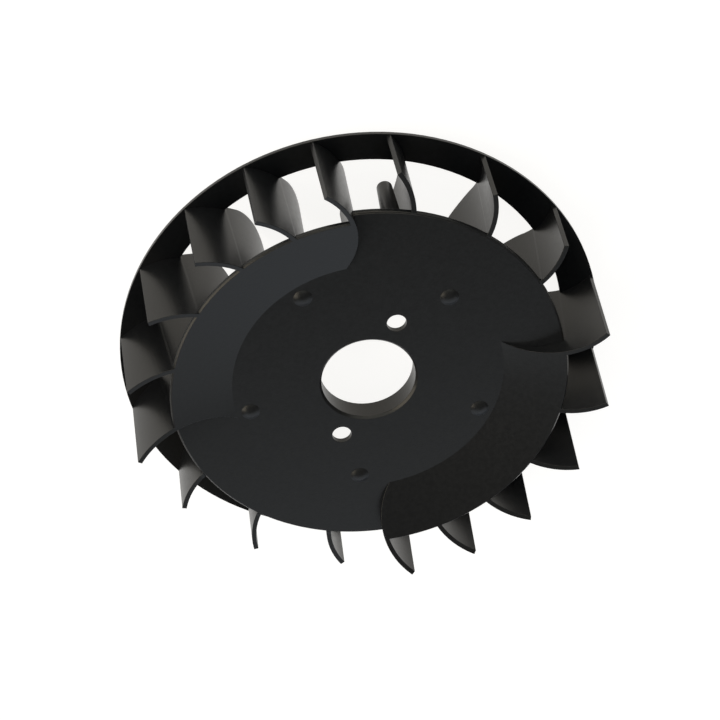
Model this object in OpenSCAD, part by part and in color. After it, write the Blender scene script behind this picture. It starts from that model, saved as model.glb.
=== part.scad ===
// Flywheel fan of a small engine: one moulding, face up, standing on the far edges of its blades.
// The flat middle of the disc seats on the flywheel, and two sectors of the disc rise to the blade tips.

/* [Shroud ring] */
// Outside diameter of the ring
ring_d = 210; // [200:1:240]
// Diameter of the air inlet inside the ring
ring_hole_d = 180; // [172:1:188]
// Thickness of the ring along the axis
ring_t = 1.8; // [1.2:0.1:3]
// Slope of the ring, which drops towards its inner edge
ring_angle = 19; // [10:1:24]
// Height of the ring's outer rim above the base
ring_h = 10; // [8:0.5:14]

/* [Disc] */
// Diameter of the disc
disc_d = 170.2; // [160:0.2:176]
// Height of the flat face above the base
disc_h = 38.7; // [34:0.1:46]
// Thickness of the disc
plate_t = 2.5; // [1.8:0.1:4]
// Diameter of the level middle, outside which the low sectors rise a little
level_d = 124; // [118:0.5:125]
// Rise of the low sectors from the level middle to the disc's rim
level_rise = 1.1; // [0.3:0.1:1.6]
// Chamfer on the near edge of the disc's rim
rim_chamfer = 0.7; // [0.3:0.1:1]

/* [Raised sectors] */
// Diameter of the crease where the raised sectors start
crease_d = 117; // [112:1:122]
// Slope of the raised sectors
rise_angle = 17.5; // [8:0.5:22]

/* [Blades] */
// Diameter across the tips of the long blades
tip_d = 206.6; // [198:0.2:209]
// Height of the long blades' near edge, taken out to the ring's diameter
long_h = 52.9; // [46:0.1:58]
// Height of the short blades' near edge, taken out to the ring's diameter
short_h = 40; // [39.8:0.1:42]
// Thickness of a blade
blade_t = 2; // [1.4:0.1:3]
// Radius of the blade camber
camber_r = 33.5; // [28:0.5:45]
// Diameter of the circle that the blades' rounded far corners touch
blade_in_d = 127; // [126:1:131]
// Radius of the rounded far corner of a blade
corner_r = 14; // [8:0.5:14]
// Steps from blade to blade over half a turn, in degrees
blade_gaps = [16.5, 17, 19, 20, 21, 23, 23, 23, 17.5]; // [12:0.5:30]
// Number of long blades in half a turn, the rest are short
long_count = 6; // [5:1:6]
// Angle of the first blade from the bolt holes
first_angle = 33.2; // [20:0.2:45]

/* [Bore] */
// Diameter of the bore
bore_d = 40.6; // [36:0.1:46]
// Chamfer on the face side of the bore
bore_chamfer = 1; // [0.3:0.1:1.4]
// Wall of the collar round the bore
collar_wall = 1.7; // [1.4:0.1:4]
// Depth of the collar below the flat face
collar_depth = 10; // [6:0.5:16]

/* [Bolt holes] */
// Diameter of the two bolt holes
bolt_d = 8.4; // [6.4:0.1:9]
// Diameter of the circle through the bolt holes
bolt_pcd = 62; // [60:0.5:70]

/* [Pips] */
// Number of round pips on the flat face
pip_count = 5; // [3:1:6]
// Diameter of a pip
pip_d = 8; // [6:0.2:10]
// Height of a pip
pip_h = 1.2; // [0.8:0.1:2.4]
// Diameter of the circle through the pips
pip_pcd = 105; // [96:1:106]
// Angle of the first pip from the bolt holes
pip_angle = 54; // [0:1:71]

/* [Posts] */
// Diameter of the free ends of the two posts under the disc
post_end_d = 6.6; // [5:0.1:8]
// Diameter of the posts where they meet the disc
post_root_d = 8.6; // [5.5:0.1:9]
// Diameter of the circle through the posts
post_pcd = 156.8; // [150:0.2:158]
// Angle of the posts from the bolt holes
post_angle = 15; // [10:0.2:20]
// Height of the posts' free ends above the base
post_end_h = 10; // [4:0.5:20]

/* [Hidden] */
$fn = 144;
ring_r = ring_d / 2;
ring_hole_r = ring_hole_d / 2;
disc_r = disc_d / 2;
level_r = level_d / 2;
crease_r = crease_d / 2;
tip_r = tip_d / 2;
blade_in_r = blade_in_d / 2;
collar_r = bore_d / 2 + collar_wall;
ring_drop = (ring_r - ring_hole_r) * tan(ring_angle);
// How far shapes run into each other or past a cut
lap = plate_t / 5;
// Where the chamfer of the disc's rim starts, and the height of the low sectors there
near_r = disc_r - rim_chamfer;
level_h = disc_h + level_rise;
// Middle of the disc's thickness, where the blades take root
root_h = disc_h - plate_t / 2;
// Near ends of the long and the short blades, hidden in the disc
long_in_r = crease_r - lap;
short_in_r = blade_in_r - lap;
// Centre of the camber arc, whose chord lies on a radius of the fan
chord_mid = (tip_r + long_in_r) / 2;
chord_half = (tip_r - long_in_r) / 2;
camber_y = sqrt(camber_r * camber_r - chord_half * chord_half);
// Turn of the camber arc from its middle to the tip, where a blade is cut square to the arc
tip_turn = asin(chord_half / camber_r);
// The cut passes the tip's corner, and leans out to just inside the ring's rim
tip_back = tan(tip_turn) * blade_t / 2;
tip_lean = (ring_r - tip_r - lap / 5) / cos(tip_turn);
// Turn of the camber arc from its middle to the square inner end
in_turn = asin((chord_mid - blade_in_r - 2 * lap) / camber_r);
// Radius of the straight inner edge, just inside the rounded far corner
inner_edge_r = blade_in_r + lap / 5;
// Centre of the rounded far corner, and the point where the straight far edge runs into its arc
corner_x = blade_in_r + corner_r;
corner_z = corner_r;
inlet_z = ring_h - ring_drop;
inlet_dx = ring_hole_r - corner_x;
inlet_dz = inlet_z - corner_z;
inlet_reach = sqrt(inlet_dx * inlet_dx + inlet_dz * inlet_dz);
tangent_angle = atan2(inlet_dz, inlet_dx) - acos(corner_r / inlet_reach);
edge_in_x = corner_x + (corner_r - lap / 5) * cos(tangent_angle);
edge_in_z = corner_z + (corner_r - lap / 5) * sin(tangent_angle);
// Sphere of which a pip is the cap
pip_ball_r = (pip_d * pip_d / 4 + pip_h * pip_h) / (2 * pip_h);
// A radius past everything, for shapes that are cut down afterwards
reach = ring_r + long_h;
half_gaps = len(blade_gaps);

// Sum of the first n steps
function turned(n) = n == 0 ? 0 : turned(n - 1) + blade_gaps[n - 1];
// Angle of blade k of half a turn
function blade_angle(k) = first_angle + turned(k);
// Height of the raised surface at a radius
function rise_at(r) = disc_h + (r - crease_r) * tan(rise_angle);

module half_turns() {
    for (half = [0, 180]) rotate(half) children();
}

// Circle of the camber arc of a blade that lies at an angle, its radius changed by grow
module camber_disc(angle, grow) {
    rotate(angle) translate([chord_mid, camber_y]) circle(r = camber_r + grow);
}

module blade_plan() {
    difference() {
        camber_disc(0, blade_t / 2);
        camber_disc(0, -blade_t / 2);
        translate([0, camber_y]) square([reach, reach]);
    }
}

// Section of a blade: near edge, ring slope, and the rounded far corner
module blade_section(in_r, in_h, rim_h, top_h) {
    polygon([
        [in_r, root_h], [in_r, in_h], [near_r, rim_h], [ring_r, top_h],
        [ring_r, ring_h], [ring_hole_r, inlet_z],
        [edge_in_x, edge_in_z], [corner_x, corner_z], [inner_edge_r, corner_z], [inner_edge_r, root_h]
    ]);
    translate([corner_x, corner_z]) circle(r = corner_r);
}

// Stands a section square across the camber arc, at a turn from the arc's middle
module across_arc(turn) {
    translate([chord_mid, camber_y]) rotate(turn) translate([0, corner_r - camber_r])
        rotate([90, 0, 0]) linear_extrude(2 * corner_r) children();
}

// What is cut from the tip: all that lies beyond a line that leans in towards the near side
module tip_cut() {
    across_arc(tip_turn) polygon([
        [tip_lean - tip_back, ring_h], [-tip_back, long_h], [-tip_back, long_h + plate_t],
        [corner_r, long_h + plate_t], [corner_r, ring_h]
    ]);
}

// What is cut from the inner end, below the disc
module inner_cut() {
    across_arc(-in_turn) translate([-corner_r, -lap]) square([corner_r, root_h + lap]);
}

module blade(long) {
    difference() {
        intersection() {
            linear_extrude(reach) blade_plan();
            rotate_extrude() {
                if (long) blade_section(long_in_r, rise_at(long_in_r), rise_at(near_r), long_h);
                else blade_section(short_in_r, disc_h - lap, level_h - lap / 2, short_h);
            }
        }
        tip_cut();
        inner_cut();
    }
}

module blades() {
    for (k = [0 : half_gaps - 1]) {
        half_turns() rotate(blade_angle(k)) blade(k < long_count);
    }
}

// Outline of one raised sector, bounded by the camber of the first and the last long blade
module raised_plan(grow) {
    last = long_count - 1;
    difference() {
        union() {
            polygon([
                [0, 0],
                for (k = [0 : last]) reach * [cos(blade_angle(k)), sin(blade_angle(k))]
            ]);
            camber_disc(blade_angle(0), grow);
        }
        camber_disc(blade_angle(last), -grow);
        circle(r = crease_r - 2 * grow);
    }
}

module raised_sectors() {
    half_turns() intersection() {
        linear_extrude(reach) raised_plan(lap);
        rotate_extrude() polygon([
            [long_in_r, rise_at(long_in_r) - plate_t], [long_in_r, rise_at(long_in_r)],
            [near_r, rise_at(near_r)], [disc_r, rise_at(near_r) - rim_chamfer],
            [disc_r, rise_at(disc_r) - plate_t]
        ]);
    }
}

module flat_disc() {
    difference() {
        rotate_extrude() polygon([
            [0, disc_h - plate_t], [0, disc_h], [level_r, disc_h], [near_r, level_h],
            [disc_r, level_h - rim_chamfer], [disc_r, level_h - plate_t], [level_r, disc_h - plate_t]
        ]);
        half_turns() linear_extrude(reach) raised_plan(-lap);
    }
}

module shroud_ring() {
    rotate_extrude() polygon([
        [ring_hole_r, inlet_z], [ring_r, ring_h], [ring_r, ring_h + ring_t], [ring_hole_r, inlet_z + ring_t]
    ]);
}

module collar() {
    translate([0, 0, disc_h - collar_depth]) cylinder(h = collar_depth - lap, r = collar_r);
}

module pips() {
    for (k = [0 : pip_count - 1]) {
        rotate(pip_angle + k * 360 / pip_count) translate([pip_pcd / 2, 0, disc_h]) intersection() {
            translate([0, 0, pip_h - pip_ball_r]) sphere(r = pip_ball_r);
            translate([0, 0, -lap]) cylinder(h = pip_h + 2 * lap, r = pip_ball_r);
        }
    }
}

module posts() {
    half_turns() rotate(post_angle) translate([post_pcd / 2, 0, post_end_h])
        cylinder(h = disc_h - post_end_h - lap, d1 = post_end_d, d2 = post_root_d);
}

module bore() {
    translate([0, 0, disc_h - collar_depth - lap]) cylinder(h = collar_depth + 2 * lap, r = bore_d / 2);
    translate([0, 0, disc_h - bore_chamfer])
        cylinder(h = bore_chamfer + lap, r1 = bore_d / 2, r2 = bore_d / 2 + bore_chamfer + lap);
}

module bolt_holes() {
    half_turns() translate([bolt_pcd / 2, 0, disc_h - plate_t - lap])
        cylinder(h = plate_t + 2 * lap, r = bolt_d / 2);
}

module fan_wheel() {
    color("#26282b") difference() {
        union() {
            flat_disc();
            raised_sectors();
            blades();
            shroud_ring();
            collar();
            pips();
            posts();
        }
        bore();
        bolt_holes();
    }
}

fan_wheel();
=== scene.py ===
"""Looks of the flywheel fan: one satin black moulding, lying face up on a pale floor."""
from math import cos, radians, sin

import bpy
from mathutils import Matrix, Vector

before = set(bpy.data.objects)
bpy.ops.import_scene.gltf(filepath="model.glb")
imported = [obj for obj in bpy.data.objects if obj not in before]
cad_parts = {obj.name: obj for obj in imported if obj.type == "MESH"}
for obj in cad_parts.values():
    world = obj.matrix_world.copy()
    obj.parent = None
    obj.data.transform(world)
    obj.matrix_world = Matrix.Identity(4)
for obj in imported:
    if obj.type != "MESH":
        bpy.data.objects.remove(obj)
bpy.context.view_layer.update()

METRE = 1.0
MM = 0.001

# Camera: its place, its right and down directions in the part's frame, and its lens in millimetres
CAMERA_PLACE = Vector((452.9, 279.9, 732.1)) * MM
CAMERA_RIGHT = Vector((0.37551, -0.91899, 0.12022))
CAMERA_DOWN = Vector((-0.77241, -0.23861, 0.58860))
LENS = 102.29
SENSOR = 36

# Lamps: turn round the axis and lift above the floor in degrees, lengths in metres, power in watts
LAMP_AIM = Vector((0, 0, 25)) * MM
WARM_WHITE = (1.0, 0.97, 0.92)
COOL_WHITE = (0.82, 0.91, 1.0)
SKY_BLUE = (0.69, 0.80, 1.0)
LAMPS = {
    "near_softbox": dict(turn=20, lift=16, away=1.4, wide=0.9, tall=0.4, power=7, colour=WARM_WHITE),
    "side_softbox": dict(turn=105, lift=35, away=1.5, wide=1.5, tall=1.4, power=21, colour=WARM_WHITE),
    "far_softbox": dict(turn=212, lift=32, away=1.5, wide=2.4, tall=1.1, power=7.7, colour=SKY_BLUE),
    "top_softbox": dict(turn=20, lift=50, away=1.5, wide=2.2, tall=1.0, power=8.4, colour=COOL_WHITE),
}
WORLD_LEVEL = 0.16

# Floor: its width in metres, its own colour, and the white and the share of light that are seen of it
FLOOR_SIZE = 6
FLOOR_COLOUR = (0.8, 0.8, 0.8, 1)
FLOOR_WHITE = (0.90, 0.89, 0.87, 1)
FLOOR_SEEN_COLOUR = (0.22, 0.22, 0.22, 1)

# Plastic: its colours, with a paler one for wear and painted highlight, and its gloss, with what mottles
# and worn edges do to its roughness
PLASTIC_DARK = (0.0072, 0.0075, 0.0078, 1)
PLASTIC_LIGHT = (0.0090, 0.0093, 0.0096, 1)
# The paler colour is partly wear and partly a painted highlight on the outer edges and along the parting
# line
PLASTIC_WEAR_AND_PAINTED_HIGHLIGHT = (0.0130, 0.0132, 0.0138, 1)
PLASTIC_SHEEN = (1.0, 0.91, 0.74, 1)
PLASTIC_IOR = 1.5
PLASTIC_SPECULAR = 0.31
PLASTIC_ROUGHNESS = 0.285
MOTTLE_ROUGHNESS = 0.04
EDGE_POLISH = 0.03

# Mottles and moulded grain: their sizes, and the levels of the noise that the mottles run between
MOTTLE = 1.8 * MM
MOTTLE_DETAIL = 5
MOTTLE_LEVELS = (0.35, 0.65)
GRAIN = 0.7 * MM
GRAIN_DETAIL = 2
GRAIN_DEPTH = 0.035 * MM

# Outer edges, paled as wear and as a painted highlight: their rounding, how far an inner corner reaches,
# and what counts as open and as worn and highlit
EDGE_ROUND = 0.35 * MM
EDGE_SAMPLES = 6
CORNER_REACH = 0.8 * MM
CORNER_SAMPLES = 4
OPEN_LEVELS = (0.75, 0.95)
WEAR_AND_HIGHLIGHT_LEVELS = (0.01, 0.2)

# The mould's parting line climbs each blade from the ring's inner rim to the disc's rim
PARTING_LOW = Vector((89.8, 6.4)) * MM
PARTING_HIGH = Vector((85.0, 46)) * MM
PARTING_WIDTH = 0.9 * MM
PARTING_STEP = 0.07 * MM
# How pale the parting line is painted: a painted highlight where its step catches the light
PARTING_PAINTED_HIGHLIGHT = 0.35

# A surface's share of up or down: below the first level it stands upright, above the second it lies flat
UPRIGHT_LEVELS = (0.2, 0.4)

# The disc's low sectors rise from the flat middle to the rim, so gently that they look level
FLAT_RADIUS = 62 * MM
DISC_RADIUS = 85.1 * MM
FLAT_HEIGHT = 38.7 * MM
LOW_RISE = 1.1 * MM
# A place is on the disc's face within the first of these distances from it, and off it past the second
ON_DISC_LEVELS = (0.2 * MM, 0.4 * MM)


class Value:
    """A shader socket that takes part in Python expressions."""

    def __init__(self, shader, socket):
        self.shader = shader
        self.socket = socket

    def __add__(self, other):
        return self.shader.math("ADD", self, other)

    def __radd__(self, other):
        return self.shader.math("ADD", other, self)

    def __sub__(self, other):
        return self.shader.math("SUBTRACT", self, other)

    def __rsub__(self, other):
        return self.shader.math("SUBTRACT", other, self)

    def __mul__(self, other):
        return self.shader.math("MULTIPLY", self, other)

    def __rmul__(self, other):
        return self.shader.math("MULTIPLY", other, self)


class Shader:
    """The nodes of one material or of the world."""

    def __init__(self, owner):
        owner.use_nodes = True
        self.tree = owner.node_tree
        self.tree.nodes.clear()

    def node(self, kind, settings=None, sockets=None, output=0):
        """Adds a node, makes its settings, then fills its sockets with numbers or links."""
        made = self.tree.nodes.new(kind)
        for name, setting in (settings or {}).items():
            setattr(made, name, setting)
        for key, value in (sockets or {}).items():
            if isinstance(value, Value):
                self.tree.links.new(value.socket, made.inputs[key])
            else:
                made.inputs[key].default_value = value
        return Value(self, made.outputs[output]) if made.outputs else None

    def math(self, operation, *values):
        return self.node("ShaderNodeMath", {"operation": operation}, dict(enumerate(values)))

    def mix_colour(self, factor, first, second):
        sockets = {0: factor, 6: first, 7: second}
        return self.node("ShaderNodeMix", {"data_type": "RGBA"}, sockets, output=2)

    def mix_vector(self, factor, first, second):
        sockets = {0: factor, 4: first, 5: second}
        return self.node("ShaderNodeMix", {"data_type": "VECTOR"}, sockets, output=1)

    def dot(self, first, second):
        settings = {"operation": "DOT_PRODUCT"}
        return self.node("ShaderNodeVectorMath", settings, {0: first, 1: second}, output="Value")

    def axis(self, vector, name):
        return self.node("ShaderNodeSeparateXYZ", None, {"Vector": vector}, output=name)

    def noise(self, place, size, detail):
        return self.node("ShaderNodeTexNoise", None, {"Vector": place, "Scale": 1 / size, "Detail": detail})

    def ramp(self, value, low, high):
        """Runs from 0 to 1 while the value runs from low to high."""
        sockets = {"Value": value, "From Min": low, "From Max": high}
        return self.node("ShaderNodeMapRange", None, sockets)


def seen_rays(shader):
    """1 for what the camera sees, straight or in a glossy or clear surface."""
    seen = 0
    for name in ("Is Camera Ray", "Is Glossy Ray", "Is Transmission Ray"):
        ray = shader.node("ShaderNodeLightPath", output=name)
        seen = shader.math("MAXIMUM", seen, ray)
    return seen


def surface_place(shader, place, normal):
    """Distance of a place from the axis, its height, and 1 where its surface stands upright."""
    x, y, height = (shader.axis(place, name) for name in "XYZ")
    radius = shader.math("SQRT", x * x + y * y)
    slant = shader.math("ABSOLUTE", shader.axis(normal, "Z"))
    return radius, height, 1 - shader.ramp(slant, *UPRIGHT_LEVELS)


def parting_line(shader, radius, height):
    """Which side of the mould's parting line a place is on, 0 or 1, and how near it is to the line."""
    lean = (PARTING_HIGH - PARTING_LOW).x / (PARTING_HIGH - PARTING_LOW).y
    off_line = radius - (PARTING_LOW.x + lean * (height - PARTING_LOW.y))
    near_line = 1 - shader.ramp(shader.math("ABSOLUTE", off_line), 0, PARTING_WIDTH / 2)
    return shader.ramp(off_line, -PARTING_WIDTH / 2, PARTING_WIDTH / 2), near_line


def low_rise(shader, radius, height):
    """How far a place on the disc's low sectors lies above the flat middle, and 0 elsewhere."""
    rise = LOW_RISE * shader.ramp(radius, FLAT_RADIUS, DISC_RADIUS)
    off_disc = shader.math("ABSOLUTE", height - (FLAT_HEIGHT + rise))
    return rise * (1 - shader.ramp(off_disc, *ON_DISC_LEVELS))


def worn_and_highlit_edges(shader, normal):
    """The surface's direction, rounded at its outer edges, and how much a place is paled as wear and as a
    painted edge highlight, from 0 to 1.
    """
    rounded = shader.node("ShaderNodeBevel", {"samples": EDGE_SAMPLES}, {"Radius": EDGE_ROUND})
    settings = {"samples": CORNER_SAMPLES, "only_local": True}
    open_air = shader.node("ShaderNodeAmbientOcclusion", settings, {"Distance": CORNER_REACH}, output="AO")
    rounded = shader.mix_vector(shader.ramp(open_air, *OPEN_LEVELS), normal, rounded)
    return rounded, shader.ramp(1 - shader.dot(normal, rounded), *WEAR_AND_HIGHLIGHT_LEVELS)


def black_plastic():
    """Satin black plastic: mottled, finely grained, paler at its outer edges as wear and painted highlight,
    and along its parting line as a painted highlight.
    """
    material = bpy.data.materials.new("black_plastic")
    shader = Shader(material)
    place = shader.node("ShaderNodeTexCoord", output="Object")
    normal = shader.node("ShaderNodeNewGeometry", output="Normal")
    mottle = shader.ramp(shader.noise(place, MOTTLE, MOTTLE_DETAIL), *MOTTLE_LEVELS)
    grain = shader.noise(place, GRAIN, GRAIN_DETAIL)
    rounded, edge_wear_and_highlight = worn_and_highlit_edges(shader, normal)
    radius, height, upright = surface_place(shader, place, normal)
    past_line, near_line = parting_line(shader, radius, height)

    body = shader.mix_colour(mottle, PLASTIC_DARK, PLASTIC_LIGHT)
    # Paler at outer edges (wear and painted highlight) and along the parting line (painted highlight)
    painted_highlight_and_wear = shader.math("MAXIMUM", edge_wear_and_highlight, PARTING_PAINTED_HIGHLIGHT * near_line * upright)
    relief = GRAIN_DEPTH * grain + PARTING_STEP * past_line * upright
    relief = relief - low_rise(shader, radius, height) * (1 - upright)
    bump = shader.node("ShaderNodeBump", None, {"Height": relief, "Distance": METRE, "Normal": rounded})
    sockets = {
        "Base Color": shader.mix_colour(painted_highlight_and_wear, body, PLASTIC_WEAR_AND_PAINTED_HIGHLIGHT),
        "Roughness": PLASTIC_ROUGHNESS + MOTTLE_ROUGHNESS * mottle - EDGE_POLISH * edge_wear_and_highlight,
        "Normal": bump,
        "IOR": PLASTIC_IOR,
        "Specular IOR Level": PLASTIC_SPECULAR,
        "Specular Tint": PLASTIC_SHEEN,
    }
    surface = shader.node("ShaderNodeBsdfPrincipled", None, sockets)
    shader.node("ShaderNodeOutputMaterial", None, {"Surface": surface})
    return material


def pale_floor():
    """White paper, lifted to white where it is seen."""
    material = bpy.data.materials.new("pale_floor")
    shader = Shader(material)
    paper = shader.node("ShaderNodeBsdfDiffuse", None, {"Color": FLOOR_COLOUR})
    white = shader.node("ShaderNodeEmission", None, {"Color": FLOOR_WHITE})
    shaded = shader.node("ShaderNodeBsdfDiffuse", None, {"Color": FLOOR_SEEN_COLOUR})
    seen = shader.node("ShaderNodeAddShader", None, {0: white, 1: shaded})
    surface = shader.node("ShaderNodeMixShader", None, {0: seen_rays(shader), 1: paper, 2: seen})
    shader.node("ShaderNodeOutputMaterial", None, {"Surface": surface})
    return material


def studio_world():
    """A low, even light from all round."""
    world = bpy.data.worlds.new("studio")
    bpy.context.scene.world = world
    shader = Shader(world)
    light = shader.node("ShaderNodeBackground", None, {"Strength": WORLD_LEVEL})
    shader.node("ShaderNodeOutputWorld", None, {"Surface": light})


def add_floor():
    """A wide square under the fan."""
    mesh = bpy.data.meshes.new("floor")
    half = FLOOR_SIZE / 2
    corners = [(-half, -half, 0), (half, -half, 0), (half, half, 0), (-half, half, 0)]
    mesh.from_pydata(corners, [], [(0, 1, 2, 3)])
    mesh.materials.append(pale_floor())
    floor = bpy.data.objects.new("floor", mesh)
    bpy.context.collection.objects.link(floor)


def add_lamp(name, turn, lift, away, wide, tall, power, colour):
    """A rectangular softbox that faces the fan."""
    lamp = bpy.data.lights.new(name, "AREA")
    lamp.shape = "RECTANGLE"
    lamp.size = wide
    lamp.size_y = tall
    lamp.energy = power
    lamp.color = colour
    stand = bpy.data.objects.new(name, lamp)
    bpy.context.collection.objects.link(stand)
    turn, lift = radians(turn), radians(lift)
    side = Vector((cos(lift) * cos(turn), cos(lift) * sin(turn), sin(lift)))
    stand.location = LAMP_AIM + side * away
    stand.rotation_euler = side.to_track_quat("Z", "Y").to_euler()


def add_camera():
    """The camera, held by its place and its right and down directions."""
    lens = bpy.data.cameras.new("camera")
    lens.lens = LENS
    lens.sensor_width = SENSOR
    camera = bpy.data.objects.new("camera", lens)
    bpy.context.collection.objects.link(camera)
    right, up = CAMERA_RIGHT.normalized(), -CAMERA_DOWN.normalized()
    axes = Matrix((right, up, right.cross(up))).transposed()
    camera.matrix_world = Matrix.Translation(CAMERA_PLACE) @ axes.to_4x4()
    bpy.context.scene.camera = camera


def finish_fan():
    """Gives the moulding its plastic."""
    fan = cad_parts["fan_wheel"]
    fan.data.materials.clear()
    fan.data.materials.append(black_plastic())


add_camera()
add_floor()
studio_world()
for lamp_name, lamp_values in LAMPS.items():
    add_lamp(lamp_name, **lamp_values)
finish_fan()
bpy.context.scene.view_settings.view_transform = "Standard"
